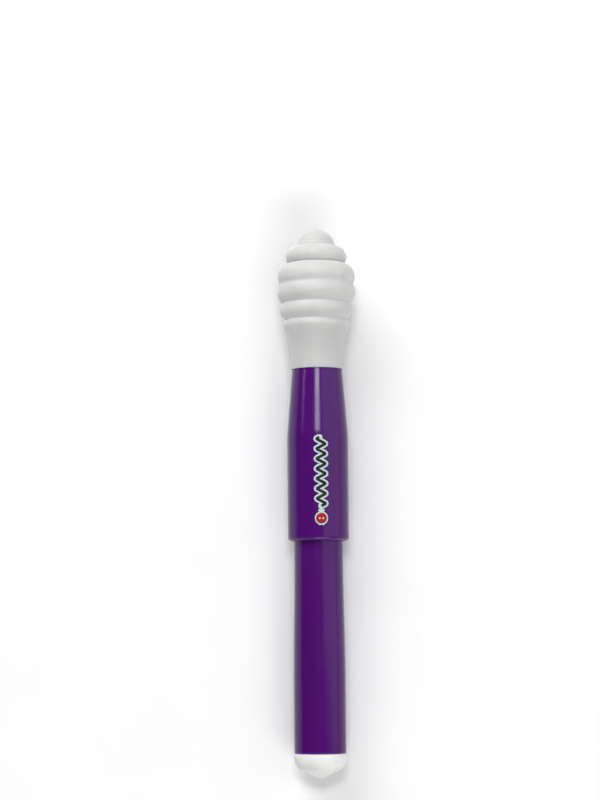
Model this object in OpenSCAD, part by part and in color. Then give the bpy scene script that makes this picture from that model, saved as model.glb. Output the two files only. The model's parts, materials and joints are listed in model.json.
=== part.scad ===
// Capped seam ripper: a hollow barrel with a forked steel blade, a rubber plug at its rear, and a pull-off
// cap that ends in a ribbed rubber tip. Each piece is drawn upright, with z measured from the point of the
// rear plug, and lay_down() then lays the whole tool on its side, pointing along +Y.

/* [Overall] */
// Length from the point of the plug to the top of the ribbed tip, without its moulding nib
tool_len = 139.5; // [138:0.1:142]
// Height of the moulding nib on top of the ribbed tip
nib_h = 0.4; // [0.2:0.1:0.8]

/* [Rear plug] */
// Length of plug that shows behind the barrel
plug_len = 6.5; // [6:0.1:7]
// Radius of the plug at its widest
plug_r = 6.7; // [6.6:0.05:6.75]
// Slope of the plug's conical end, measured from a flat end
plug_slope = 26; // [24:1:28]
// Radius that rounds the cone into the side
plug_round = 4; // [3:0.1:4.2]
// Radius of the plug's stem
stem_r = 4.5; // [4:0.1:4.5]
// Length of the stem inside the barrel
stem_len = 10; // [8:0.5:16]

/* [Barrel] */
// Radius of the grip
barrel_r = 6.53; // [6.4:0.01:6.6]
// Radius of the waisted neck that the cap slides over
neck_r = 6.16; // [6:0.01:6.16]
// Where the grip starts to narrow
waist_from = 24; // [20:0.5:30]
// Where the neck reaches its own radius
waist_to = 54; // [50:0.5:56]
// Radius of the bore that runs in from the rear
barrel_bore_r = 4.7; // [4.6:0.05:4.9]
// Where the bore ends
barrel_bore_to = 58; // [50:0.5:60]

/* [Nose] */
// Where the neck ends and the conical nose starts
nose_from = 66.8; // [65.5:0.1:67.5]
// Length of the nose
nose_len = 9; // [8:0.1:10]
// Radius of the nose at its base
nose_base_r = 5.7; // [5.5:0.05:5.75]
// Radius of the nose at its end
nose_end_r = 4.9; // [4.5:0.05:5]
// Radius that rounds the nose's rim
nose_round = 0.7; // [0.3:0.1:1]

/* [Blade] */
// Radius of the steel shank
shank_r = 1.4; // [1.2:0.05:1.5]
// Length of shank that shows, from the nose to where the two tines' centre lines meet
shank_len = 24.6; // [22:0.1:26]
// Length of the tang held in the nose
tang_len = 11; // [8:0.5:12]
// Thickness of the flattened fork
fork_t = 1.5; // [1.2:0.1:1.8]
// Angle between each tine and the shank
tine_angle = 11.4; // [10:0.2:12]
// Length of the long, pointed tine
long_tine = 17.4; // [15:0.1:17.6]
// Length of the short tine, to the middle of its bead
short_tine = 7.6; // [7:0.1:8.5]
// Width of the long tine before it narrows to its point
long_tine_w = 1.5; // [1.3:0.1:1.6]
// Length of the long tine's point
point_len = 4; // [3:0.5:6]
// Width of the short tine at its bead
short_tine_w = 1.3; // [1.1:0.1:1.4]
// Distance from the root of the fork to its cutting edge
crotch = 4.2; // [3.8:0.1:4.6]
// Radius of the bead on the short tine
bead_r = 1.5; // [1.3:0.05:1.6]

/* [Cap] */
// Where the mouth of the cap comes to on the barrel
mouth_at = 59.8; // [59.5:0.1:60.5]
// Radius of the cap's straight sleeve
sleeve_r = 7.74; // [7.6:0.01:7.8]
// Where the sleeve starts to taper
shoulder_at = 86.7; // [86:0.1:88]
// Radius at the end of the taper
collar_r = 6.33; // [6.2:0.01:6.4]
// Inner radius of the sleeve
sleeve_bore_r = 6.44; // [6.35:0.01:6.46]
// Radial clearance between the grip ring and the neck
grip_gap = 0.07; // [0.05:0.01:0.1]
// Outer radius of the spigot inside the rubber tip
spigot_r = 5.2; // [5.1:0.05:5.3]
// Inner radius of the spigot
spigot_bore_r = 4.15; // [4.1:0.05:4.2]
// Where the closed end of the spigot comes to
spigot_to = 121.2; // [121:0.1:122]
// Number of stop ribs inside the sleeve
stop_ribs = 4; // [3:1:6]

/* [Ribbed tip] */
// Where the skirt of the rubber tip meets the cap
skirt_at = 103.7; // [103:0.1:104]
// Radius of the skirt
skirt_r = 6.64; // [6.5:0.01:6.8]
// Length of skirt that stays straight before it flares
skirt_straight = 1.5; // [1:0.1:2]

/* [Label] */
// Length of the label on the sleeve
label_len = 23; // [18:0.2:23.4]
// Width of the label
label_w = 4.6; // [3:0.1:5]
// Thickness of the label
label_t = 0.06; // [0.04:0.01:0.1]
// Turn of the label about the tool, away from the top
label_turn = 5.5; // [-10:0.5:10]

/* [Hidden] */
$fn = 96;

violet = [0.33, 0.07, 0.44];
off_white = [0.90, 0.90, 0.88];
steel = [0.75, 0.76, 0.78];
red = [0.78, 0.10, 0.12];
label_grey = [0.78, 0.84, 0.82];

// gap left between two pieces of the same body that touch on a curved face
seat_gap = 0.05;
edge = 0.2;

// ribs of the rubber tip, from the skirt upwards: [height of crest, radius of crest, radius of the rounding]
flare_rib = [114.9, 8.3, 2.3];
ribs = [[118.7, 9.33, 2.75], [123.2, 9.98, 3.4], [127.3, 9.87, 3.3], [132.3, 7.72, 2.75]];
dome_r = 4.87;
dome_z = tool_len - dome_r;

// the plug's rounding touches both its side and its conical end
plug_arc_r = plug_r - plug_round;
plug_arc_z = (plug_round + plug_arc_r * sin(plug_slope)) / cos(plug_slope);

// the tool rests on its plug and on its widest rib, so its axis leans up by rest_lean
rest_rib = ribs[1];
rest_dz = rest_rib[0] - plug_arc_z;
rest_dr = rest_rib[1] - rest_rib[2] - plug_arc_r;
rest_lean = atan2(rest_dr, rest_dz) + asin((rest_rib[2] - plug_round) / norm([rest_dz, rest_dr]));
rest_z = plug_arc_r * cos(rest_lean) + plug_round - plug_arc_z * sin(rest_lean);
nib_r = 0.45;
rest_y = ((tool_len + nib_h) * cos(rest_lean) + nib_r * sin(rest_lean)) / 2;

nose_to = nose_from + nose_len;
fork_z = nose_to + shank_len;
// length over which the round shank flattens into the fork
fork_root = 4;
crotch_r = 0.25;

// points of an arc, as [radius, z] pairs
function arc(c, r, from, to, n = 12) =
    [for (i = [0:n]) c + r * [cos(from + (to - from) * i / n), sin(from + (to - from) * i / n)]];

// smooth waist between two radii
function waist(t) = barrel_r + (neck_r - barrel_r) * (1 - cos(180 * t)) / 2;

module lay_down() {
    translate([0, -rest_y, rest_z])
        rotate([rest_lean - 90, 0, 0])
            children();
}

// a straight round body between two heights
module rod(r, z_from, z_to) {
    translate([0, 0, z_from])
        cylinder(r = r, h = z_to - z_from);
}

// a round ring with a curved outside, for beads and sealing rings
module ring(r, z, round_r) {
    rotate_extrude()
        translate([r - round_r, z])
            circle(r = round_r, $fn = 32);
}

module handle_barrel() {
    waist_steps = 14;
    rim_z = nose_to - nose_round;
    color(violet)
        lay_down()
            difference() {
                rotate_extrude()
                    polygon(concat(
                        [[0, plug_len], [barrel_r - edge, plug_len], [barrel_r, plug_len + edge]],
                        [for (i = [0:waist_steps])
                            [waist(i / waist_steps), waist_from + (waist_to - waist_from) * i / waist_steps]],
                        [[neck_r, nose_from - edge], [neck_r - edge, nose_from], [nose_base_r, nose_from]],
                        arc([nose_end_r - nose_round, rim_z], nose_round, 0, 90, 8),
                        [[0, nose_to]]));
                // bore for the plug's stem
                rod(barrel_bore_r, plug_len - 1, barrel_bore_to);
                // seat of the blade's tang
                rod(shank_r + 0.02, nose_to - tang_len - 0.3, nose_to + 1);
            }
}

module end_plug() {
    seal_r = barrel_bore_r - 0.02;
    lip_r = plug_r - 0.1;
    color(off_white)
        lay_down() {
            rotate_extrude()
                polygon(concat(
                    [[0, 0]],
                    arc([plug_arc_r, plug_arc_z], plug_round, plug_slope - 90, 0, 16),
                    [[lip_r, plug_len - 0.15], [lip_r - 0.15, plug_len], [0, plug_len]]));
            rod(stem_r, plug_len - 0.5, plug_len + stem_len - 1);
            translate([0, 0, plug_len + stem_len - 1])
                cylinder(r1 = stem_r, r2 = stem_r - 1, h = 1);
            for (z = [plug_len + 3, plug_len + 7])
                ring(seal_r, z, 0.5);
        }
}

// a point of the fork, along a line that leaves its root at an angle, and off to that line's right
function tine_point(angle, along, off) =
    [along * sin(angle) + off * cos(angle), along * cos(angle) - off * sin(angle)];

// the shank flattens and parts into a long pointed tine and a short one that carries the bead
module fork_outline() {
    point_from = long_tine - point_len;
    bead_from = short_tine - bead_r;
    polygon(concat(
        [[-shank_r, -fork_root], [shank_r, -fork_root], [shank_r, 0],
         tine_point(tine_angle, point_from, long_tine_w / 2),
         tine_point(tine_angle, long_tine, 0.15),
         tine_point(tine_angle, long_tine, -0.1),
         tine_point(tine_angle, point_from, -long_tine_w / 2)],
        arc([0, crotch + crotch_r], crotch_r, -10, -170, 8),
        [tine_point(-tine_angle, bead_from, short_tine_w / 2),
         tine_point(-tine_angle, bead_from, -short_tine_w / 2),
         [-shank_r, 0]]));
}

module ripper_blade() {
    edge_t = 0.3;
    grind_r = 1.5;
    pin_r = 0.5;
    color(steel)
        lay_down() {
            difference() {
                union() {
                    rod(shank_r, nose_to - tang_len, fork_z - fork_root);
                    translate([0, 0, fork_z - fork_root])
                        cylinder(r1 = shank_r, r2 = fork_t / 2 - 0.05, h = fork_root - 1);
                    translate([0, fork_t / 2, fork_z])
                        rotate([90, 0, 0])
                            linear_extrude(fork_t)
                                fork_outline();
                }
                // grooves that lock the tang in the nose
                for (z = [nose_to - tang_len + 2, nose_to - tang_len + 5])
                    rotate_extrude()
                        translate([shank_r - 0.2, z])
                            square([1, 1]);
                // hollow grinding of the cutting edge, from both faces
                for (side = [-1, 1])
                    translate([0, side * (edge_t / 2 + 1), fork_z + crotch + grind_r - 0.7])
                        rotate([90, 0, 0])
                            cylinder(r = grind_r, h = 2, center = true, $fn = 48);
            }
            // pin that carries the bead
            translate([0, 0, fork_z])
                rotate([0, -tine_angle, 0])
                    rod(pin_r, short_tine - bead_r - 0.5, short_tine + 0.5);
        }
}

module safety_ball() {
    hole_r = 0.52;
    shift = 0.35;
    // the bead sits on the end of the flat tine, whose corners are this far from its middle
    seat = norm([fork_t, short_tine_w]) / 2;
    color(red)
        lay_down()
            translate([0, 0, fork_z])
                rotate([0, -tine_angle, 0])
                    difference() {
                        translate([0, 0, short_tine + shift])
                            sphere(r = bead_r, $fn = 48);
                        rod(hole_r, short_tine - bead_r - 1, short_tine + 0.55);
                        rod(seat + 0.05, short_tine - bead_r - 1, short_tine - bead_r + 0.02);
                    }
}

module cap_sleeve() {
    grip_r = neck_r + grip_gap;
    mouth_round = 0.9;
    lip_r = 0.25;
    taper_wall = 1.15;
    floor_t = 1.3;
    bead_z = 112;
    rib_w = 0.8;
    rib_from = nose_from + 0.1;
    rib_to = nose_from + 14;
    rib_r = nose_base_r + 0.15;
    color(violet)
        lay_down() {
            difference() {
                union() {
                    rotate_extrude()
                        polygon(concat(
                            [[0, mouth_at]],
                            arc([sleeve_r - mouth_round, mouth_at + mouth_round], mouth_round, -90, 0, 8),
                            [[sleeve_r, shoulder_at], [collar_r, skirt_at - 0.02], [spigot_r, skirt_at - 0.02],
                             [spigot_r, spigot_to - 0.6], [spigot_r - 0.6, spigot_to], [0, spigot_to]]));
                    ring(spigot_r + 0.3, bead_z, 0.6);
                }
                rotate_extrude()
                    polygon([[0, mouth_at - 1], [sleeve_bore_r + lip_r, mouth_at - 1],
                             [sleeve_bore_r + lip_r, mouth_at], [grip_r, mouth_at + 0.7],
                             [grip_r, mouth_at + 2.7], [sleeve_bore_r, mouth_at + 3.2],
                             [sleeve_bore_r, shoulder_at - 1], [collar_r - taper_wall, skirt_at - 1],
                             [spigot_bore_r, skirt_at + 1], [spigot_bore_r, spigot_to - floor_t],
                             [0, spigot_to - floor_t]]);
            }
            // ribs whose lower ends stop against the step at the base of the nose
            for (i = [0:stop_ribs - 1])
                rotate([0, 0, 360 * (i + 0.5) / stop_ribs])
                    translate([rib_r, -rib_w / 2, rib_from])
                        cube([sleeve_bore_r + 0.3 - rib_r, rib_w, rib_to - rib_from]);
        }
}

// outline of the rubber tip: a flared skirt, rounded ribs and a dome
module tip_outline() {
    rib_c = flare_rib[1] - flare_rib[2];
    flare_z = skirt_at + skirt_straight;
    rise = flare_rib[0] - flare_z;
    inset = skirt_r - rib_c;
    // radius of the hollow flare that runs tangent into the first bulge
    flare_r = (inset * inset + rise * rise - flare_rib[2] * flare_rib[2]) / (2 * (flare_rib[2] - inset));
    difference() {
        translate([0, skirt_at])
            square([flare_rib[1] - 0.1, flare_rib[0] - skirt_at]);
        translate([skirt_r, skirt_at - 1])
            square([5, skirt_straight + 1]);
        translate([skirt_r + flare_r, flare_z])
            circle(r = flare_r, $fn = 96);
    }
    for (rib = concat([flare_rib], ribs))
        translate([rib[1] - rib[2], rib[0]])
            circle(r = rib[2], $fn = 48);
    // core under the ribs
    translate([0, flare_rib[0] - 1])
        square([6.6, 13]);
    translate([0, 126])
        square([dome_r - 0.6, dome_z - 126]);
    translate([0, dome_z])
        circle(r = dome_r, $fn = 64);
    translate([0, tool_len - 0.5])
        square([nib_r, nib_h + 0.5]);
}

module thread_grabber_tip() {
    bore_r = spigot_r + seat_gap;
    color(off_white)
        lay_down()
            difference() {
                rotate_extrude()
                    intersection() {
                        tip_outline();
                        translate([0, skirt_at])
                            square([20, 50]);
                    }
                rod(bore_r, skirt_at - 1, spigot_to + 0.3);
                ring(spigot_r + 0.3 + seat_gap, 112, 0.6 + seat_gap);
            }
}

module cap_label() {
    label_z = 74.9;
    inner_r = sleeve_r + 0.01;
    color(label_grey)
        lay_down()
            rotate([0, 0, label_turn])
                intersection() {
                    difference() {
                        rod(inner_r + label_t, label_z - 20, label_z + 20);
                        rod(inner_r, label_z - 21, label_z + 21);
                    }
                    translate([0, 0, label_z])
                        rotate([90, 0, 0])
                            linear_extrude(20) {
                                square([label_w, label_len - label_w], center = true);
                                for (end = [-1, 1])
                                    translate([0, end * (label_len - label_w) / 2])
                                        circle(d = label_w, $fn = 48);
                            }
                }
}

handle_barrel();
end_plug();
ripper_blade();
safety_ball();
cap_sleeve();
thread_grabber_tip();
cap_label();
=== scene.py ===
"""Looks of a capped seam ripper: a violet barrel and cap, off-white rubber ends, and a forked steel blade.

All but the fork and the label is round about one axis. A place on the tool is given by its distance along
that axis from the point of the rear plug, its distance from the axis and its turn, in metres and radians.
"""
import json
import math

import bpy
from mathutils import Matrix, Quaternion, Vector, noise
from mathutils.geometry import tessellate_polygon


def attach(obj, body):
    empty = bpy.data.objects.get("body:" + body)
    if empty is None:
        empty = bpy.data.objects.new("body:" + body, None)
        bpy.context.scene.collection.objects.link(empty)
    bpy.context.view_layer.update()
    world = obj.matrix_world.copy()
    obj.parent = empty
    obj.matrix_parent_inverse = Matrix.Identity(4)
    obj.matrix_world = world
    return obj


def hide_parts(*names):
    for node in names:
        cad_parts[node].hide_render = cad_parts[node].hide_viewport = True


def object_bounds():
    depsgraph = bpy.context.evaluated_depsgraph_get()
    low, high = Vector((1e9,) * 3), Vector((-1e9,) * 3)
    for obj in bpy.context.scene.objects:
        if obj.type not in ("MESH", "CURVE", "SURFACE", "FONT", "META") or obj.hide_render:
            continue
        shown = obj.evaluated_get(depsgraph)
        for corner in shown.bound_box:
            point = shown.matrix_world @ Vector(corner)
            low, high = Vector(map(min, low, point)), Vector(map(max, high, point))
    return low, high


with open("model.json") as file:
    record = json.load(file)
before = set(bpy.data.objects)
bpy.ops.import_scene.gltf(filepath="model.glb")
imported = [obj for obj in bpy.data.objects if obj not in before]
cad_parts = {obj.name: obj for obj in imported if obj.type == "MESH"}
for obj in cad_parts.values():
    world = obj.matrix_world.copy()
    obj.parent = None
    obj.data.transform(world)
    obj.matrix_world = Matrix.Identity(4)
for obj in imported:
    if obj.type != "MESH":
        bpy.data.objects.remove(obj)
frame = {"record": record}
cad_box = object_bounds()

MM = 0.001

# ---------------------------------------------------------------- the tool's axis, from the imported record

record = frame["record"]
pull = record["behaviour"]["joints"][0]
grip_mount = next(m for m in record["mounts"] if m["name"] == "barrel_grip")
ALONG = Vector(pull["axis"]).normalized()
SIDE = Vector((1, 0, 0))
ABOVE = SIDE.cross(ALONG)
GRIP_FROM, GRIP_TO = 6.7 * MM, 24 * MM  # the straight grip that the mount barrel_grip measures
PLUG_POINT = Vector(grip_mount["pos_m"]) - ALONG * (GRIP_FROM + GRIP_TO) / 2


def place(r, s, turn=0.0):
    """Point at radius r and distance s along the tool, turned from straight up towards +X."""
    return PLUG_POINT + ALONG * s + (ABOVE * math.cos(turn) + SIDE * math.sin(turn)) * r


# ---------------------------------------------------------------- sizes, in metres, as in the CAD model

PLUG_R, PLUG_LEN, PLUG_ROUND, PLUG_SLOPE = 6.7 * MM, 6.5 * MM, 4 * MM, math.radians(26)
BARREL_R, NECK_R, BARREL_BORE_R = 6.53 * MM, 6.16 * MM, 4.7 * MM
WAIST_FROM, WAIST_TO = 24 * MM, 54 * MM
NOSE_FROM, NOSE_LEN, NOSE_BASE_R, NOSE_END_R = 66.8 * MM, 9 * MM, 5.7 * MM, 4.9 * MM
NOSE_TO = NOSE_FROM + NOSE_LEN
SHANK_R, SHANK_LEN, TANG_LEN = 1.4 * MM, 24.6 * MM, 11 * MM
FORK_AT, FORK_T, TINE_ANGLE = NOSE_TO + SHANK_LEN, 1.5 * MM, math.radians(11.4)
LONG_TINE, SHORT_TINE, CROTCH = 17.4 * MM, 7.6 * MM, 4.2 * MM
BEAD_R = 1.5 * MM
MOUTH_AT, SHOULDER_AT, SKIRT_AT = 59.8 * MM, 86.7 * MM, 103.7 * MM
SLEEVE_R, COLLAR_R, SLEEVE_BORE_R = 7.74 * MM, 6.33 * MM, 6.44 * MM
SPIGOT_R, SPIGOT_BORE_R, SPIGOT_TO = 5.2 * MM, 4.15 * MM, 121.2 * MM
SKIRT_R, TOP_AT, NIB_H = 6.64 * MM, 139.5 * MM, 0.4 * MM
LABEL_AT, LABEL_LEN, LABEL_W, LABEL_T = 74.9 * MM, 23 * MM, 4.6 * MM, 0.06 * MM
LABEL_TURN = math.radians(5.5)
# ribs of the rubber tip: distance along, radius of the crest, radius of the rounding
RIBS = [(114.9, 8.3, 2.3), (118.7, 9.33, 2.75), (123.2, 9.98, 3.4), (127.3, 9.87, 3.3), (132.3, 7.72, 2.75)]
RIBS = [tuple(v * MM for v in rib) for rib in RIBS]
DOME_R, DOME_FROM = 4.87 * MM, 137.2 * MM
SKIRT_STRAIGHT, RIB_BLEND = 1.5 * MM, 0.75 * MM


# ---------------------------------------------------------------- materials

class Nodes:
    """A material's node tree, with short calls to add and link its nodes."""

    def __init__(self, name):
        self.material = bpy.data.materials.new(name)
        self.material.use_nodes = True
        self.tree = self.material.node_tree
        self.shader = self.tree.nodes["Principled BSDF"]

    def set(self, **values):
        for key, value in values.items():
            self.shader.inputs[key.replace("_", " ")].default_value = value

    def add(self, kind, **settings):
        made = self.tree.nodes.new(kind)
        for key, value in settings.items():
            if key in made.inputs:
                made.inputs[key].default_value = value
            else:
                setattr(made, key, value)
        return made

    def link(self, out, into):
        self.tree.links.new(out, into)

    def along_tool(self, scale=(1, 1, 1)):
        """Object coordinates turned so that Y runs along the tool, then scaled."""
        coords = self.add("ShaderNodeTexCoord")
        turn = self.add("ShaderNodeMapping")
        turn.inputs["Rotation"].default_value = (-math.asin(ALONG.z), 0, 0)
        turn.inputs["Scale"].default_value = scale
        self.link(coords.outputs["Object"], turn.inputs["Vector"])
        return turn.outputs["Vector"]

    def noise(self, vector, scale, detail=3.0, rough=0.5):
        tex = self.add("ShaderNodeTexNoise")
        tex.inputs["Scale"].default_value = scale
        tex.inputs["Detail"].default_value = detail
        tex.inputs["Roughness"].default_value = rough
        self.link(vector, tex.inputs["Vector"])
        return tex.outputs["Fac"]

    def ramp(self, value, stops):
        """Colour ramp of (position, colour) stops."""
        made = self.add("ShaderNodeValToRGB")
        elements = made.color_ramp.elements
        while len(elements) > 1:
            elements.remove(elements[-1])
        for i, (position, colour) in enumerate(stops):
            element = elements[0] if i == 0 else elements.new(position)
            element.position = position
            element.color = (*colour, 1)
        self.link(value, made.inputs["Fac"])
        return made.outputs["Color"]

    def span(self, value, low, high, to_low, to_high):
        made = self.add("ShaderNodeMapRange")
        for key, number in (("From Min", low), ("From Max", high), ("To Min", to_low), ("To Max", to_high)):
            made.inputs[key].default_value = number
        self.link(value, made.inputs["Value"])
        return made.outputs["Result"]

    def mix(self, factor, a, b, kind="MIX"):
        made = self.add("ShaderNodeMix", data_type="RGBA", blend_type=kind)
        for value, socket in ((factor, made.inputs[0]), (a, made.inputs[6]), (b, made.inputs[7])):
            if isinstance(value, (int, float)):
                socket.default_value = value
            elif isinstance(value, tuple):
                socket.default_value = (*value, 1)
            else:
                self.link(value, socket)
        return made.outputs[2]

    def bump(self, heights, strength=1.0):
        """Chain of bumps: each height is (value, depth in metres)."""
        normal = None
        for value, depth in heights:
            made = self.add("ShaderNodeBump")
            made.inputs["Strength"].default_value = strength
            made.inputs["Distance"].default_value = depth
            self.link(value, made.inputs["Height"])
            if normal is not None:
                self.link(normal, made.inputs["Normal"])
            normal = made.outputs["Normal"]
        self.link(normal, self.shader.inputs["Normal"])

    def attribute(self, name):
        return self.add("ShaderNodeAttribute", attribute_name=name).outputs["Fac"]


# the third violet is paler, painted along the rims as a painted highlight
VIOLET_DEEP, VIOLET, VIOLET_RIM_HIGHLIGHT = (0.046, 0.0024, 0.096), (0.056, 0.0032, 0.110), (0.11, 0.03, 0.18)
# pale and darker colour of each rubber and ink
PLUG_WHITE = (0.72, 0.72, 0.71), (0.64, 0.64, 0.63)
TIP_WHITE = (0.515, 0.515, 0.51), (0.465, 0.465, 0.46)
INK_PALE = (0.42, 0.52, 0.50), (0.35, 0.45, 0.43)
INK_BLACK = (0.008, 0.007, 0.009), (0.003, 0.003, 0.004)
INK_RED = (0.32, 0.006, 0.010), (0.24, 0.003, 0.006)


def violet_plastic(name, sheen_rough=0.16):
    """Polished dark violet moulded plastic, with faint flow streaks and fine hairlines; its rims are painted
    a paler violet, a painted rim highlight.
    """
    m = Nodes(name)
    m.set(IOR=1.32)
    flow = m.noise(m.along_tool((260, 45, 260)), 1.0, 3.0)
    cloud = m.noise(m.along_tool((40, 18, 40)), 1.0, 2.0)
    streaks = m.ramp(flow, [(0.30, VIOLET_DEEP), (0.72, VIOLET)])
    body = m.mix(m.span(cloud, 0.3, 0.7, 0.0, 0.35), streaks, VIOLET)
    # painted highlight: a paler violet painted along the rims that the edge channel marks
    rim_highlight = m.mix(m.span(m.attribute("edge"), 0.15, 1.0, 0.0, 0.55), body, VIOLET_RIM_HIGHLIGHT)
    m.link(rim_highlight, m.shader.inputs["Base Color"])
    hairs = m.noise(m.along_tool((3200, 80, 3200)), 1.0, 3.0)
    smudge = m.noise(m.along_tool((150, 90, 150)), 1.0, 4.0, 0.6)
    rough = m.span(smudge, 0.35, 0.75, sheen_rough, sheen_rough + 0.10)
    m.link(rough, m.shader.inputs["Roughness"])
    wave = m.noise(m.along_tool((110, 30, 110)), 1.0, 1.0)
    m.bump([(wave, 0.000012), (hairs, 0.0000035)])
    return m.material


def soft_rubber(name, pale, shade, spots=0.35):
    """Satin off-white rubber: translucent, mottled and finely pitted, with painted light: paler where light
    bleeds into a groove.
    """
    m = Nodes(name)
    m.set(IOR=1.45, Subsurface_Weight=1.0, Subsurface_Scale=0.002, Sheen_Weight=0.12, Sheen_Roughness=0.5)
    m.shader.inputs["Subsurface Radius"].default_value = (1.0, 0.85, 0.7)
    cloud = m.noise(m.along_tool((210, 210, 210)), 1.0, 4.0, 0.55)
    body = m.mix(m.span(cloud, 0.35, 0.7, 0.0, 1.0), pale, shade)
    thin = m.mix(m.attribute("thin"), body, tuple(c * 0.97 for c in shade))
    # painted light: the grooves, and the plug's lip, are painted paler where light would bleed in
    painted_groove_light = tuple(min(0.9, c * 1.12) for c in pale)
    groove = m.mix(m.span(m.attribute("groove"), 0.0, 1.0, 0.0, 0.6), thin, painted_groove_light)
    lint = m.noise(m.along_tool((2600, 900, 2600)), 1.0, 2.0, 0.7)
    specks = m.mix(m.span(lint, 0.70, 0.78, 0.0, spots), groove, tuple(c * 0.72 for c in shade))
    m.link(specks, m.shader.inputs["Base Color"])
    m.link(m.span(cloud, 0.3, 0.7, 0.42, 0.55), m.shader.inputs["Roughness"])
    pits = m.noise(m.along_tool((5200, 5200, 5200)), 1.0, 3.0, 0.6)
    skin = m.noise(m.along_tool((420, 420, 420)), 1.0, 3.0, 0.5)
    m.bump([(skin, 0.00004), (pits, 0.000006)])
    return m.material


def bright_steel(name):
    """Polished steel wire, drawn lengthwise: long fine scratches and a faint straw tint."""
    m = Nodes(name)
    m.set(Metallic=1.0, Anisotropic=0.45)
    drawn = m.noise(m.along_tool((5200, 60, 5200)), 1.0, 4.0, 0.6)
    tint = m.noise(m.along_tool((300, 200, 300)), 1.0, 3.0)
    steel = m.ramp(tint, [(0.3, (0.60, 0.60, 0.61)), (0.75, (0.76, 0.75, 0.73))])
    m.link(steel, m.shader.inputs["Base Color"])
    m.link(m.span(drawn, 0.3, 0.8, 0.14, 0.32), m.shader.inputs["Roughness"])
    m.bump([(drawn, 0.000004)])
    return m.material


def red_bead_plastic(name):
    """Glossy red dipped bead, a little darker where the colour has run."""
    m = Nodes(name)
    m.set(IOR=1.5, Coat_Weight=0.6, Coat_Roughness=0.05)
    sagging = m.noise(m.along_tool((900, 500, 900)), 1.0, 3.0)
    red = m.ramp(sagging, [(0.3, (0.36, 0.004, 0.008)), (0.7, (0.62, 0.015, 0.02))])
    m.link(red, m.shader.inputs["Base Color"])
    m.link(m.span(sagging, 0.3, 0.7, 0.12, 0.22), m.shader.inputs["Roughness"])
    m.bump([(sagging, 0.00002)])
    return m.material


def printed_film(name, pale, dark, rough):
    """Thin screen-printed ink: a fine mesh grain and slightly uneven cover."""
    m = Nodes(name)
    m.set(IOR=1.3)
    cover = m.noise(m.along_tool((1400, 1400, 1400)), 1.0, 4.0, 0.6)
    m.link(m.ramp(cover, [(0.32, dark), (0.62, pale)]), m.shader.inputs["Base Color"])
    m.link(m.span(cover, 0.3, 0.7, rough, rough + 0.12), m.shader.inputs["Roughness"])
    grain = m.noise(m.along_tool((9000, 9000, 9000)), 1.0, 1.0)
    m.bump([(grain, 0.000002)])
    return m.material


# ---------------------------------------------------------------- mesh building

def new_piece(name, verts, faces, material, body, replaces=(), attributes=None):
    """Makes a smooth-shaded object from points and faces, and rides it on its body."""
    mesh = bpy.data.meshes.new(name)
    mesh.from_pydata([tuple(v) for v in verts], [], faces)
    for key, values in (attributes or {}).items():
        mesh.attributes.new(key, "FLOAT", "POINT").data.foreach_set("value", values)
    mesh.polygons.foreach_set("use_smooth", [True] * len(mesh.polygons))
    mesh.materials.append(material)
    mesh.validate()
    mesh.update()
    piece = bpy.data.objects.new(name, mesh)
    bpy.context.scene.collection.objects.link(piece)
    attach(piece, body)
    if replaces:
        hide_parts(*replaces)
    return piece


class Shape:
    """Points, faces and per-point values gathered for one mesh."""

    def __init__(self, **channels):
        self.verts, self.faces = [], []
        self.values = {key: [] for key in channels}
        self.defaults = channels

    def point(self, position, **values):
        self.verts.append(position)
        for key, default in self.defaults.items():
            self.values[key].append(values.get(key, default))
        return len(self.verts) - 1

    def grid(self, rows, wrap=False):
        """Faces between rows of point numbers; wrap joins the two ends of each row."""
        for a, b in zip(rows, rows[1:]):
            n = max(len(a), len(b))
            for i in range(n if wrap else n - 1):
                j = (i + 1) % n
                quad = [a[i % len(a)], a[j % len(a)], b[j % len(b)], b[i % len(b)]]
                face = list(dict.fromkeys(quad))
                if len(face) > 2:
                    self.faces.append(face)


def lathe(shape, outline, turns=160, bend=None, **channels):
    """Turns an outline of (radius, distance along) points about the tool's axis.

    bend(turn, r, s) gives a small change of radius; a channel is a function of (r, s).
    """
    rows = []
    for r, s in outline:
        values = {key: call(r, s) for key, call in channels.items()}
        if r < 1e-7:
            rows.append([shape.point(place(0, s), **values)])
            continue
        row = []
        for i in range(turns):
            turn = 2 * math.pi * i / turns
            wide = r + (bend(turn, r, s) if bend else 0.0)
            row.append(shape.point(place(wide, s, turn), **values))
        rows.append(row)
    shape.grid(rows, wrap=True)


def arc(centre, radius, start, end, steps):
    """Points of an arc in the plane of an outline; the angle is from straight out, towards the tip."""
    return [(centre[0] + radius * math.cos(a), centre[1] + radius * math.sin(a))
            for a in (math.radians(start + (end - start) * i / steps) for i in range(steps + 1))]


def run(a, b, steps):
    """Straight run of points from a to b, without a."""
    return [(a[0] + (b[0] - a[0]) * i / steps, a[1] + (b[1] - a[1]) * i / steps) for i in range(1, steps + 1)]


def seam(turn, height, width):
    """Height of the mould's parting lines, which run along both sides of a piece."""
    near = min(abs(math.sin((turn - side) / 2)) for side in (math.pi / 2, -math.pi / 2))
    return height * math.exp(-((2 * near / width) ** 2))


# ---------------------------------------------------------------- barrel

def waist(s):
    t = min(1.0, max(0.0, (s - WAIST_FROM) / (WAIST_TO - WAIST_FROM)))
    return BARREL_R + (NECK_R - BARREL_R) * (1 - math.cos(math.pi * t)) / 2


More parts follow.
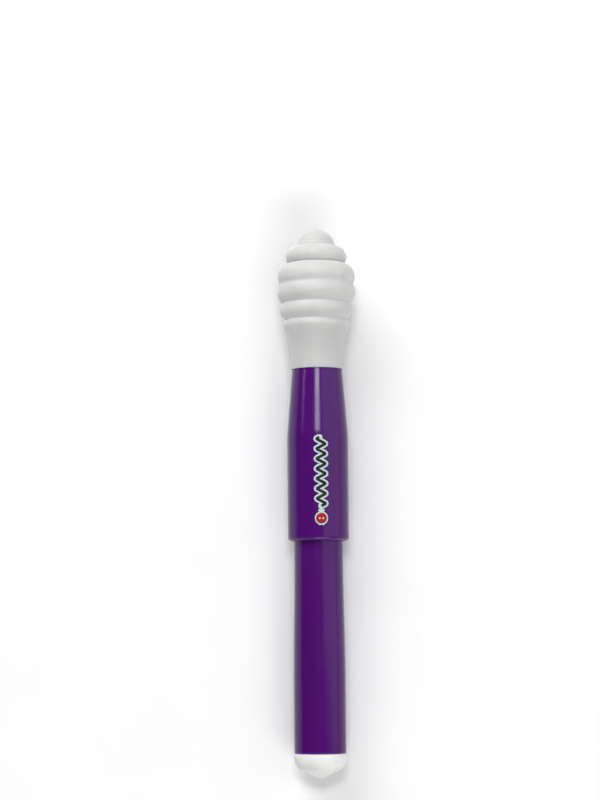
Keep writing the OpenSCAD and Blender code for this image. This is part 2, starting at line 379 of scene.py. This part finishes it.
def make_barrel(material):
    rim, nose_round, bore_end = 0.25 * MM, 0.7 * MM, 58 * MM
    seat_r = SHANK_R + 0.02 * MM
    outline = [(BARREL_BORE_R, PLUG_LEN)]
    outline += run(outline[-1], (BARREL_R - rim, PLUG_LEN), 4)
    outline += arc((BARREL_R - rim, PLUG_LEN + rim), rim, -90, 0, 6)[1:]
    stations = [PLUG_LEN + rim + (NOSE_FROM - 0.4 * MM - PLUG_LEN - rim) * i / 110 for i in range(1, 111)]
    outline += [(waist(s), s) for s in stations]
    outline += arc((NECK_R - 0.4 * MM, NOSE_FROM - 0.4 * MM), 0.4 * MM, 0, 90, 6)[1:]
    outline += run(outline[-1], (NOSE_BASE_R - 0.05 * MM, NOSE_FROM), 2)
    outline += run(outline[-1], (NOSE_END_R, NOSE_TO - nose_round), 24)
    outline += arc((NOSE_END_R - nose_round, NOSE_TO - nose_round), nose_round, 0, 90, 8)[1:]
    outline += run(outline[-1], (seat_r + 0.25 * MM, NOSE_TO), 6)
    # the plastic dips to the seat of the tang, whose blind end closes the outline at the axis
    outline += [(seat_r + 0.06 * MM, NOSE_TO - 0.08 * MM), (seat_r, NOSE_TO - 0.3 * MM)]
    outline += run(outline[-1], (seat_r, NOSE_TO - TANG_LEN - 0.3 * MM), 6)
    outline += [(0, NOSE_TO - TANG_LEN - 0.3 * MM)]
    inner = [(BARREL_BORE_R, PLUG_LEN)] + run((BARREL_BORE_R, PLUG_LEN), (BARREL_BORE_R, bore_end), 20)
    inner += [(0, bore_end)]

    def parting_and_sag(turn, r, s):
        sag = 0.012 * MM * math.sin(2 * turn + s * 60) * math.sin(s * 140)
        return sag + (seam(turn, 0.022 * MM, 0.05) if r > NECK_R - 0.5 * MM else 0.0)

    # where the paler violet of the painted rim highlight goes: the rear rim, the shoulder and the nose's end
    def edge(r, s):
        rear = math.exp(-(((s - PLUG_LEN) / (0.5 * MM)) ** 2))
        shoulder = math.exp(-(((s - NOSE_FROM) / (0.5 * MM)) ** 2))
        tip = math.exp(-(((s - NOSE_TO) / (0.8 * MM)) ** 2))
        return min(1.0, rear + shoulder + tip)

    shape = Shape(edge=0.0)
    lathe(shape, outline, turns=192, bend=parting_and_sag, edge=edge)
    lathe(shape, [(r, s) for r, s in reversed(inner)], turns=192)
    return new_piece("barrel_shell", shape.verts, shape.faces, material, "handle",
                     ["handle_barrel"], shape.values)


# ---------------------------------------------------------------- rear plug

def make_plug(material):
    arc_r = PLUG_R - PLUG_ROUND
    arc_s = (PLUG_ROUND + arc_r * math.sin(PLUG_SLOPE)) / math.cos(PLUG_SLOPE)
    slope_deg = math.degrees(PLUG_SLOPE)
    tip_round = 0.55 * MM
    tip_s = tip_round / math.cos(PLUG_SLOPE)
    outline = arc((0, tip_s), tip_round, -90, slope_deg - 90, 6)
    flank = arc((arc_r, arc_s), PLUG_ROUND, slope_deg - 90, 0, 20)
    outline += run(outline[-1], flank[0], 16) + flank[1:]
    lip_r, lip = PLUG_R - 0.1 * MM, 0.18 * MM
    outline += run(outline[-1], (lip_r, PLUG_LEN - lip), 8)
    outline += arc((lip_r - lip, PLUG_LEN - lip), lip, 0, 90, 6)[1:]
    stem_r, seal_r, seal = 4.5 * MM, 4.68 * MM, 0.5 * MM
    outline += run(outline[-1], (stem_r, PLUG_LEN), 4)
    for ring in (3 * MM, 7 * MM):
        at = PLUG_LEN + ring
        outline += [(stem_r, at - seal)] + arc((seal_r - seal, at), seal, -50, 50, 8) + [(stem_r, at + seal)]
    outline += [(stem_r, PLUG_LEN + 9 * MM), (stem_r - 1 * MM, PLUG_LEN + 10 * MM), (0, PLUG_LEN + 10 * MM)]
    outline[0] = (0, outline[0][1])
    shape = Shape(groove=0.0)

    def wobble(turn, r, s):
        if s > PLUG_LEN - 0.05 * MM:
            return 0.0
        swell = noise.noise(Vector((math.cos(turn), math.sin(turn), s * 260)) * 0.9)
        return 0.03 * MM * swell * min(1.0, r / (3 * MM))

    # painted highlight: the groove channel paints the plug's lip by the barrel paler
    def plug_lip_light(r, s):
        return math.exp(-(((s - PLUG_LEN) / (0.35 * MM)) ** 2)) * 0.5

    lathe(shape, outline, turns=160, bend=wobble, groove=plug_lip_light)
    return new_piece("plug_moulding", shape.verts, shape.faces, material, "handle",
                     ["end_plug"], shape.values)


# ---------------------------------------------------------------- blade

def fork_point(x, z, y=0.0):
    """Point of the fork: x to the side, z along the tool from its root, y above its middle plane."""
    return PLUG_POINT + ALONG * (FORK_AT + z) + SIDE * x + ABOVE * y


def tine_point(angle, along, off):
    """(x, z) at a distance along a tine that leans by an angle, and off to its right side."""
    return (along * math.sin(angle) + off * math.cos(angle), along * math.cos(angle) - off * math.sin(angle))


def fork_outline():
    """Outline of the fork, anticlockwise: (x, z, bevel, half thickness at the edge and within the bevel)."""
    half = FORK_T / 2
    blunt, keen = 0.42 * MM, 0.02 * MM
    long_w, point_len, short_w = 0.75 * MM, 4 * MM, 0.62 * MM
    point_from, bead_from = LONG_TINE - point_len, SHORT_TINE - 1.1 * MM
    corners = [
        (SHANK_R, -1.2 * MM, 0),
        (SHANK_R, 0.2 * MM, 0),
        (*tine_point(TINE_ANGLE, point_from, long_w), 0),
        (*tine_point(TINE_ANGLE, LONG_TINE - 1.1 * MM, 0.34 * MM), 0),
        (*tine_point(TINE_ANGLE, LONG_TINE, 0.07 * MM), 0.6),
        (*tine_point(TINE_ANGLE, LONG_TINE, -0.07 * MM), 0.6),
        (*tine_point(TINE_ANGLE, point_from + 1.2 * MM, -long_w + 0.1 * MM), 0.0),
        (*tine_point(TINE_ANGLE, point_from - 2 * MM, -long_w), 0.0),
        (*tine_point(TINE_ANGLE, 7.2 * MM, -0.86 * MM), 0.35),
    ]
    crotch_r = 0.27 * MM
    bottom = [(crotch_r * math.cos(a), CROTCH + crotch_r + crotch_r * math.sin(a), 1.0)
              for a in (math.radians(-8 - 164 * i / 10) for i in range(11))]
    corners += bottom + [
        (*tine_point(-TINE_ANGLE, bead_from - 0.5 * MM, short_w), 0.3),
        (*tine_point(-TINE_ANGLE, bead_from, short_w), 0.0),
        (*tine_point(-TINE_ANGLE, bead_from, -short_w), 0.0),
        (-SHANK_R, 0.2 * MM, 0),
        (-SHANK_R, -1.2 * MM, 0)]
    points = []
    for (x0, z0, k0), (x1, z1, k1) in zip(corners, corners[1:]):
        steps = max(1, round(math.hypot(x1 - x0, z1 - z0) / (0.35 * MM)))
        points += [(x0 + (x1 - x0) * i / steps, z0 + (z1 - z0) * i / steps, k0 + (k1 - k0) * i / steps)
                   for i in range(steps)]
    points.append(corners[-1])
    made = []
    for x, z, keenness in points:
        point_near = max(0.0, 1 - (LONG_TINE - math.hypot(x, z)) / point_len) if x > 0.4 * MM else 0.0
        bevel = 0.20 * MM + 0.75 * MM * keenness - 0.12 * MM * point_near
        edge_half = blunt + (keen - blunt) * min(1.0, keenness + 0.9 * point_near)
        made.append((x, z, bevel, edge_half, half * (1 - 0.80 * point_near)))
    return made


def make_shank(shape):
    """Drawn wire with a grooved tang, flattened towards the fork."""
    ring, half = 64, FORK_T / 2
    tang_from = NOSE_TO - TANG_LEN
    straight_from = tang_from + 8 * MM
    tang = ((0, 1.2), (0.2, 1.4), (2, 1.4), (2.05, 1.2), (2.95, 1.2), (3, 1.4),
            (5, 1.4), (5.05, 1.2), (5.95, 1.2), (6, 1.4), (8, 1.4))
    stations = [(tang_from + s * MM, r * MM, r * MM, 2.0) for s, r in tang]
    flat_from, flat_to = FORK_AT - 5.5 * MM, FORK_AT - 1.2 * MM
    stations += [(straight_from + (flat_from - straight_from) * i / 14, SHANK_R, SHANK_R, 2.0)
                 for i in range(1, 15)]
    # the flattened end stays 0.006 mm under the fork's faces, and runs on inside the fork
    flat_half, flat_wide = half - 0.006 * MM, SHANK_R - 0.006 * MM
    for i in range(1, 21):
        t = i / 20
        ease = t * t * (3 - 2 * t)
        stations.append((flat_from + (flat_to - flat_from) * t, SHANK_R + (flat_wide - SHANK_R) * ease,
                         SHANK_R + (flat_half - SHANK_R) * ease, 2 + 5 * ease))
    stations.append((FORK_AT - 0.6 * MM, flat_wide - 0.1 * MM, flat_half - 0.1 * MM, 7))
    rows = []
    for s, wide, high, power in stations:
        row = []
        for i in range(ring):
            a = 2 * math.pi * i / ring
            c, d = math.cos(a), math.sin(a)
            x = wide * math.copysign(abs(c) ** (2 / power), c)
            y = high * math.copysign(abs(d) ** (2 / power), d)
            row.append(shape.point(PLUG_POINT + ALONG * s + SIDE * x + ABOVE * y))
        rows.append(row)
    start = shape.point(PLUG_POINT + ALONG * tang_from)
    end = shape.point(PLUG_POINT + ALONG * (FORK_AT - 0.6 * MM))
    shape.grid([[start]] + rows + [[end]], wrap=True)


def make_fork(shape):
    """Flat outline with bevelled edges, ground sharp in the crotch."""
    outline = fork_outline()
    n = len(outline)
    insets = []
    for i, (x, z, bevel, edge_half, top) in enumerate(outline):
        ax, az = outline[i - 1][:2]
        bx, bz = outline[(i + 1) % n][:2]
        if i == 0 or i == n - 1:
            nx, nz = (-1.0, 0.0) if i == 0 else (1.0, 0.0)
        else:
            dx, dz = bx - ax, bz - az
            length = math.hypot(dx, dz)
            nx, nz = -dz / length, dx / length
        insets.append((x + nx * bevel, z + nz * bevel))
    rings = {}
    for side in (1, -1):
        outer = [shape.point(fork_point(x, z, side * e), edge=1.0) for x, z, b, e, t in outline]
        middle = [shape.point(fork_point(x + (u - x) * 0.45, z + (w - z) * 0.45, side * (e + (t - e) * 0.72)),
                              edge=0.6)
                  for (x, z, b, e, t), (u, w) in zip(outline, insets)]
        inner = [shape.point(fork_point(u, w, side * t)) for (x, z, b, e, t), (u, w) in zip(outline, insets)]
        rings[side] = (outer, middle, inner)
        order = (outer, middle, inner) if side > 0 else (inner, middle, outer)
        shape.grid(list(order), wrap=True)
        flat = [Vector((u, w, 0)) for u, w in insets]
        for tri in tessellate_polygon([flat]):
            shape.faces.append([inner[k] for k in (tri if side > 0 else reversed(tri))])
    shape.grid([rings[-1][0], rings[1][0]], wrap=True)


def make_pin(shape):
    """Pin that carries the bead."""
    pin_r = 0.5 * MM
    stations = (5.6 * MM, 6.2 * MM, 7.4 * MM, 8.0 * MM)
    rows = []
    for along in stations:
        row = []
        for i in range(20):
            a = 2 * math.pi * i / 20
            off = pin_r * math.cos(a)
            x, z = tine_point(-TINE_ANGLE, along, off)
            row.append(shape.point(fork_point(x, z, pin_r * math.sin(a))))
        rows.append(row)
    shape.grid(rows, wrap=True)
    shape.faces.append(list(reversed(rows[0])))
    shape.faces.append(rows[-1])


def make_blade(material):
    shape = Shape(edge=0.0)
    make_shank(shape)
    make_fork(shape)
    make_pin(shape)
    piece = new_piece("forked_blade", shape.verts, shape.faces, material, "handle",
                      ["ripper_blade"], shape.values)
    piece.data.set_sharp_from_angle(angle=math.radians(30))
    return piece


def make_bead(material):
    """Dipped bead: nearly a ball, drawn down to a short collar on the tine."""
    shape = Shape()
    middle, collar, tine_r = SHORT_TINE + 0.35 * MM, 0.62 * MM, 0.52 * MM
    hidden = middle + 0.3 * MM  # the bead's bore ends here
    rows, rings, ring = [], 28, 48
    outline = []
    for i in range(rings + 1):
        a = math.pi * i / rings
        r, along = BEAD_R * math.sin(a), middle + BEAD_R * math.cos(a)
        outline.append((max(r, collar) if along < middle else r, along))
    outline.append((collar - 0.02 * MM, middle - BEAD_R - 0.12 * MM))
    outline.append((tine_r, middle - BEAD_R - 0.10 * MM))
    outline.append((tine_r, hidden))
    outline.append((0.0, hidden))
    for r, along in outline:
        if r < 1e-7:
            x, z = tine_point(-TINE_ANGLE, along, 0)
            rows.append([shape.point(fork_point(x, z, 0))])
            continue
        row = []
        for k in range(ring):
            a = 2 * math.pi * k / ring
            x, z = tine_point(-TINE_ANGLE, along, r * math.cos(a))
            row.append(shape.point(fork_point(x, z, r * math.sin(a))))
        rows.append(row)
    shape.grid(rows, wrap=True)
    return new_piece("dipped_bead", shape.verts, shape.faces, material, "handle",
                     ["safety_ball"], shape.values)


# ---------------------------------------------------------------- cap

def make_sleeve(material):
    mouth_round, spigot_end = 0.9 * MM, 1.3 * MM
    grip_r, grip_from, grip_to = NECK_R + 0.07 * MM, MOUTH_AT + 1.0 * MM, MOUTH_AT + 2.7 * MM
    soft, chamfer = 0.9 * MM, 0.6 * MM
    outline = arc((SLEEVE_R - mouth_round, MOUTH_AT + mouth_round), mouth_round, -90, 0, 14)
    outline += run(outline[-1], (SLEEVE_R, SHOULDER_AT - soft), 60)
    # soft shoulder between the straight sleeve and the taper
    slope = (COLLAR_R - SLEEVE_R) / (SKIRT_AT - SHOULDER_AT)
    for i in range(1, 11):
        u = -soft + 2 * soft * i / 10
        outline.append((SLEEVE_R + slope * (u + soft) ** 2 / (4 * soft), SHOULDER_AT + u))
    outline += run(outline[-1], (COLLAR_R, SKIRT_AT - 0.05 * MM), 40)
    outline += run(outline[-1], (SPIGOT_R, SKIRT_AT - 0.02 * MM), 3)
    outline += run(outline[-1], (SPIGOT_R, SPIGOT_TO - chamfer), 12)
    outline += [(SPIGOT_R - chamfer, SPIGOT_TO), (0, SPIGOT_TO)]
    inner = [(SLEEVE_R - mouth_round, MOUTH_AT), (SLEEVE_BORE_R + 0.25 * MM, MOUTH_AT + 0.02 * MM)]
    inner += [(grip_r + 0.02 * MM, grip_from - 0.3 * MM), (grip_r, grip_from),
              (grip_r, grip_to), (SLEEVE_BORE_R, grip_to + 0.5 * MM)]
    inner += run(inner[-1], (SLEEVE_BORE_R, SHOULDER_AT - 1 * MM), 12)
    inner += run(inner[-1], (COLLAR_R - 1.25 * MM, SKIRT_AT - 1 * MM), 8)
    inner += [(SPIGOT_BORE_R, SKIRT_AT + 1 * MM)]
    inner += run(inner[-1], (SPIGOT_BORE_R, SPIGOT_TO - spigot_end), 8) + [(0, SPIGOT_TO - spigot_end)]

    # where the paler violet of the painted rim highlight goes: the cap's mouth
    def edge(r, s):
        return math.exp(-(((s - MOUTH_AT) / (0.75 * MM)) ** 2))

    def flow(turn, r, s):
        if s > SKIRT_AT - 0.1 * MM:
            return 0.0
        ripple = 0.035 * MM * math.exp(-(((s - MOUTH_AT) / (1.1 * MM)) ** 2)) * math.sin(5 * turn + 0.8)
        sink = -0.02 * MM * math.exp(-(((s - SHOULDER_AT) / (6 * MM)) ** 2)) * (1 + math.cos(4 * turn)) / 2
        return ripple + sink + seam(turn, 0.02 * MM, 0.045) - 0.02 * MM

    shape = Shape(edge=0.0)
    lathe(shape, outline, turns=224, bend=flow, edge=edge)
    lathe(shape, list(reversed(inner)), turns=224)
    # stop ribs inside the sleeve
    rib_w, rib_r = 0.4 * MM, NOSE_BASE_R + 0.15 * MM
    rib_from, rib_to, root = NOSE_FROM + 0.1 * MM, NOSE_FROM + 14 * MM, SLEEVE_BORE_R + 0.2 * MM
    for i in range(4):
        turn = 2 * math.pi * (i + 0.5) / 4 + math.pi / 2
        out = ABOVE * math.cos(turn) + SIDE * math.sin(turn)
        across = ABOVE * -math.sin(turn) + SIDE * math.cos(turn)
        rows = []
        for s, r in ((rib_from, rib_r), (rib_to - 1.5 * MM, rib_r), (rib_to, rib_r + 0.5 * MM)):
            section = [(root, -rib_w), (r + 0.12 * MM, -rib_w), (r, -rib_w * 0.6),
                       (r, rib_w * 0.6), (r + 0.12 * MM, rib_w), (root, rib_w)]
            rows.append([shape.point(PLUG_POINT + ALONG * s + out * high + across * wide)
                         for high, wide in section])
        shape.grid(rows, wrap=True)
        shape.faces += [list(reversed(rows[0])), rows[-1]]
    return new_piece("cap_shell", shape.verts, shape.faces, material, "cap", ["cap_sleeve"],
                     shape.values)


def tip_radius(s):
    """Radius of the rubber tip: a skirt that flares into the first rib, then rounded ribs and a dome."""
    at, crest, rounding = RIBS[0]
    flare_from = SKIRT_AT + SKIRT_STRAIGHT
    rise, inset = at - flare_from, SKIRT_R - (crest - rounding)
    flare = (inset ** 2 + rise ** 2 - rounding ** 2) / (2 * (rounding - inset))
    meets = flare_from + rise * flare / (flare + rounding)
    if s < meets:
        return SKIRT_R + flare - math.sqrt(flare ** 2 - max(0.0, s - flare_from) ** 2)
    shapes = []
    for at, crest, rounding in RIBS:
        if abs(s - at) < rounding:
            shapes.append(crest - rounding + math.sqrt(rounding ** 2 - (s - at) ** 2))
    gap = s - (TOP_AT - DOME_R)
    if abs(gap) < DOME_R and gap > -2 * MM:
        shapes.append(math.sqrt(DOME_R ** 2 - gap ** 2))
    return blend_out(shapes, RIB_BLEND)


def blend_out(values, soft):
    """Largest value, with the corner between two near-equal ones filled a little."""
    first, *rest = sorted(values, reverse=True)
    fill = max(0.0, soft - (first - rest[0])) if rest else 0.0
    return first + fill ** 2 / (4 * soft)


def make_tip(material):
    lip = 0.12 * MM
    bore_r = SPIGOT_R + 0.05 * MM
    # the lip reaches a little way down over the collar
    lip_to, lap_r = SKIRT_AT - 0.3 * MM, COLLAR_R + 0.04 * MM
    outline = [(bore_r, SKIRT_AT), (COLLAR_R, SKIRT_AT), (lap_r, SKIRT_AT), (lap_r, lip_to + 0.05 * MM)]
    outline += arc((SKIRT_R - lip, lip_to + lip), lip, -90, 0, 8)
    outline.append((SKIRT_R, SKIRT_AT + lip))
    s, step = SKIRT_AT + lip, 0.13 * MM
    while s < DOME_FROM:
        s += step
        outline.append((tip_radius(s), s))
    start = math.degrees(math.atan2(outline[-1][1] - (TOP_AT - DOME_R), outline[-1][0]))
    nib_from = 84.5  # degrees up the dome
    outline += arc((0, TOP_AT - DOME_R), DOME_R, start, nib_from, 18)[1:]
    nib_r = 0.42 * MM
    outline += [(nib_r, TOP_AT), (nib_r * 0.9, TOP_AT + NIB_H * 0.8),
                (nib_r * 0.6, TOP_AT + NIB_H), (0, TOP_AT + NIB_H)]
    inner = [(bore_r, SKIRT_AT)] + run((bore_r, SKIRT_AT), (bore_r, SPIGOT_TO + 0.3 * MM), 10)
    inner += [(0, SPIGOT_TO + 0.3 * MM)]
    limit = max(rib[1] for rib in RIBS)

    # mask of the painted light in the grooves
    def groove(r, s):
        """1 in the bottom of a groove, 0 on a crest."""
        reach = 1.1 * MM
        if not SKIRT_AT + reach < s < 137 * MM:
            return 0.0
        beyond = min(s + reach, 138 * MM)
        depth = (tip_radius(s - reach) + tip_radius(beyond)) / 2 - r
        return max(0.0, min(1.0, depth / (0.35 * MM)))

    def soften(turn, r, s):
        if s < SKIRT_AT + 0.05 * MM or r < 0.6 * MM:
            return 0.0
        p = Vector((math.cos(turn), math.sin(turn), s * 210))
        swell = 0.075 * MM * noise.noise(p * 1.1) + 0.03 * MM * noise.noise(p * 2.7 + Vector((3, 1, 7)))
        fade = min(1.0, (s - SKIRT_AT) / (3 * MM)) * min(1.0, r / (3 * MM))
        parting = seam(turn, 0.045 * MM, 0.035) * min(1.0, r / (2 * MM))
        return min(swell * fade + parting, limit - r)

    def thin(r, s):
        """1 where the wall round the spigot is thin and the violet shows through a little."""
        thick_from, fade = SKIRT_AT + 11.5 * MM, 2.5 * MM
        return max(0.0, min(1.0, (thick_from - s) / fade))

    shape = Shape(groove=0.0, thin=0.0)
    lathe(shape, outline, turns=256, bend=soften, groove=groove, thin=thin)
    lathe(shape, list(reversed(inner)), turns=256)
    return new_piece("ribbed_tip", shape.verts, shape.faces, material, "cap",
                     ["thread_grabber_tip"], shape.values)


# ---------------------------------------------------------------- print on the cap

# along the label from its middle, in metres
STITCH_FROM, STITCH_TO = -LABEL_LEN / 2 + 4.9 * MM, LABEL_LEN / 2 - 0.8 * MM
STITCH_PITCH, STITCH_SWING, STITCH_W = 2.5 * MM, 1.08 * MM, 0.72 * MM
BUTTON_AT, BUTTON_R = -LABEL_LEN / 2 + 1.85 * MM, 1.35 * MM
FILM_MARGIN = 0.42 * MM


def wrap(u, v, height):
    """Point on the sleeve: u to the right round it and v along it from the label's middle."""
    r = SLEEVE_R + height
    return place(r, LABEL_AT + v, LABEL_TURN + u / SLEEVE_R)


def border(grid):
    """Point numbers once round the border of a grid."""
    far, near = [row[-1] for row in grid[1:]], [row[0] for row in grid[1:-1]]
    return grid[0] + far + grid[-1][-2::-1] + near[::-1]


def patch(shape, rows, base, top):
    """Thin closed patch from rows of (u, v) points, all of one length."""
    upper = [[shape.point(wrap(u, v, top)) for u, v in row] for row in rows]
    lower = [[shape.point(wrap(u, v, base)) for u, v in row] for row in rows]
    shape.grid(upper)
    shape.grid([list(reversed(row)) for row in lower])
    shape.grid([border(lower), border(upper)], wrap=True)


def stitch_side(v):
    """Sideways place of the machine stitch at height v of the label."""
    turn = 2 * math.pi * (v - STITCH_FROM) / STITCH_PITCH
    return STITCH_SWING * math.asin(0.98 * math.sin(turn)) / math.asin(0.98)


def make_label(material):
    """Pale film cut to the outline of the print on it."""
    reach = STITCH_W / 2 + FILM_MARGIN
    samples = [STITCH_FROM + (STITCH_TO - STITCH_FROM) * i / 220 for i in range(221)]
    discs = [(stitch_side(v), v, reach) for v in samples] + [(0.0, BUTTON_AT, BUTTON_R + FILM_MARGIN * 0.8)]
    half_w, half_l, across = LABEL_W / 2, LABEL_LEN / 2, 14
    rows = []
    for i in range(1, 160):
        v = -half_l + LABEL_LEN * i / 160
        spans = [(u, math.sqrt(r * r - (v - w) ** 2)) for u, w, r in discs if abs(v - w) < r]
        low = max(-half_w, min([u - h for u, h in spans], default=-reach))
        high = min(half_w, max([u + h for u, h in spans], default=reach))
        rows.append([(low + (high - low) * k / across, v) for k in range(across + 1)])
    shape = Shape()
    patch(shape, rows, 0.005 * MM, 0.01 * MM + LABEL_T * 0.8)
    return new_piece("label_film", shape.verts, shape.faces, material, "cap", ["cap_label"])


def stroke(shape, path, width):
    """Inked line of even width along a path of (u, v) points."""
    rows = []
    for i, (u, v) in enumerate(path):
        a, b = path[max(0, i - 1)], path[min(len(path) - 1, i + 1)]
        du, dv = b[0] - a[0], b[1] - a[1]
        length = math.hypot(du, dv)
        nu, nv = -dv / length * width / 2, du / length * width / 2
        rows.append([(u + nu * t, v + nv * t) for t in (1, 0.4, -0.4, -1)])
    patch(shape, rows, 0.055 * MM, 0.068 * MM)


def make_print(black, red, pale):
    """Black zigzag machine stitch with a red two-hole button at its end."""
    shape = Shape()
    path = [STITCH_FROM + (STITCH_TO - STITCH_FROM) * i / 180 for i in range(181)]
    stroke(shape, [(stitch_side(v), v) for v in path], STITCH_W)
    new_piece("label_stitch", shape.verts, shape.faces, black, "cap")
    disc = Shape()
    rings = [[(BUTTON_R * f * math.cos(a), BUTTON_AT + BUTTON_R * f * math.sin(a))
              for f in (0.02, 0.35, 0.7, 1.0)] for a in (2 * math.pi * i / 40 for i in range(41))]
    patch(disc, rings, 0.055 * MM, 0.068 * MM)
    new_piece("label_button", disc.verts, disc.faces, red, "cap")
    holes = Shape()
    for side in (-1, 1):
        hole = [[(side * 0.45 * MM + 0.24 * MM * f * math.cos(a), BUTTON_AT + 0.24 * MM * f * math.sin(a))
                 for f in (0.05, 1.0)] for a in (2 * math.pi * i / 20 for i in range(21))]
        patch(holes, hole, 0.06 * MM, 0.074 * MM)
    new_piece("label_button_holes", holes.verts, holes.faces, pale, "cap")


# ---------------------------------------------------------------- floor, light and camera

def make_floor():
    """Plain pale floor."""
    m = Nodes("floor_paper")
    size = 3.0
    m.set(Roughness=0.9)
    m.shader.inputs["Specular IOR Level"].default_value = 0.1
    grain = m.noise(m.along_tool((40, 40, 40)), 1.0, 2.0)
    paper = m.ramp(grain, [(0.3, (0.70, 0.70, 0.705)), (0.7, (0.72, 0.72, 0.725))])
    m.link(paper, m.shader.inputs["Base Color"])
    mesh = bpy.data.meshes.new("floor")
    corners = [(-size, -size, 0), (size, -size, 0), (size, size, 0), (-size, size, 0)]
    mesh.from_pydata(corners, [], [(0, 1, 2, 3)])
    mesh.materials.append(m.material)
    floor = bpy.data.objects.new("floor", mesh)
    floor.location.z = cad_box[0].z - 0.0001
    bpy.context.scene.collection.objects.link(floor)


LIGHTS_AIM = 75 * MM  # distance along the tool of the point that the lights face


def panel(name, direction, distance, size, radiance, roll=0.0):
    """Rectangular light of even radiance, in a direction from the aimed point and facing it."""
    middle = place(0, LIGHTS_AIM)
    data = bpy.data.lights.new(name, "AREA")
    data.shape = "RECTANGLE"
    data.size, data.size_y = size
    data.energy = radiance * math.pi * size[0] * size[1]
    light = bpy.data.objects.new(name, data)
    light.location = middle + Vector(direction).normalized() * distance
    light.rotation_mode = "QUATERNION"
    facing = (light.location - middle).to_track_quat("Z", "Y")
    light.rotation_quaternion = facing @ Quaternion((0, 0, 1), math.radians(roll))
    bpy.context.scene.collection.objects.link(light)


def make_lights():
    world = bpy.data.worlds.new("studio")
    world.use_nodes = True
    world.node_tree.nodes["Background"].inputs["Color"].default_value = (0.95, 0.96, 1.0, 1)
    world.node_tree.nodes["Background"].inputs["Strength"].default_value = 0.05
    bpy.context.scene.world = world
    # two softboxes light the tool from its two ends, so that they never show along the gloss of the barrel
    panel("far_softbox", (-0.36, 0.78, 0.50), 1.0, (0.7, 0.45), 9.6)
    panel("near_softbox", (0.20, -0.75, 0.66), 1.0, (0.9, 0.5), 5.2)
    # tall pale panel on the right, reflected along the right half of the gloss
    panel("right_panel", (0.80, 0.20, 0.595), 0.8, (0.55, 1.1), 1.35, roll=-16)
    # overhead lamp, which shows only in the cap's taper
    panel("top_lamp", (-0.01, 0.32, 0.95), 1.0, (0.30, 0.22), 19)
    # small lamp on the left, which draws a thin line along the cap's taper
    panel("left_lamp", (-0.85, 0.30, 0.46), 1.0, (0.03, 0.10), 45)


CAMERA_HEIGHT = 0.66  # above the tool's axis
CAMERA_FOOT = 35.4 * MM  # distance along the tool of the point straight under the camera
CAMERA_AIM = 95.68 * MM  # distance along the tool of the point in the picture's middle
CAMERA_LENS = 117.29
CAMERA_SHIFT_X = -4.4 * MM  # the tool lies a little right of the picture's middle
CAMERA_ROLL = math.radians(-0.47)


def make_camera():
    data = bpy.data.cameras.new("camera")
    data.sensor_width = 36
    data.lens = CAMERA_LENS
    data.clip_start, data.clip_end = 0.05, 20
    camera = bpy.data.objects.new("camera", data)
    eye = place(CAMERA_HEIGHT, CAMERA_FOOT) + SIDE * CAMERA_SHIFT_X
    aim = place(0, CAMERA_AIM) + SIDE * CAMERA_SHIFT_X
    forward = (aim - eye).normalized()
    right = forward.cross(ALONG).normalized()
    up = right.cross(forward)
    turn = Matrix((right, up, -forward)).transposed()
    camera.rotation_mode = "QUATERNION"
    camera.rotation_quaternion = (turn @ Matrix.Rotation(CAMERA_ROLL, 3, "Z")).to_quaternion()
    camera.location = eye
    bpy.context.scene.collection.objects.link(camera)
    bpy.context.scene.camera = camera


# ---------------------------------------------------------------- the scene

make_camera()
make_lights()
make_floor()

make_barrel(violet_plastic("barrel_violet"))
make_plug(soft_rubber("plug_rubber", *PLUG_WHITE))
make_blade(bright_steel("blade_steel"))
make_bead(red_bead_plastic("bead_red"))
make_sleeve(violet_plastic("cap_violet", 0.14))
make_tip(soft_rubber("tip_rubber", *TIP_WHITE))
pale_ink = printed_film("label_pale", *INK_PALE, 0.4)
make_label(pale_ink)
make_print(printed_film("ink_black", *INK_BLACK, 0.4), printed_film("ink_red", *INK_RED, 0.35), pale_ink)

bpy.context.scene.view_settings.view_transform = "Standard"
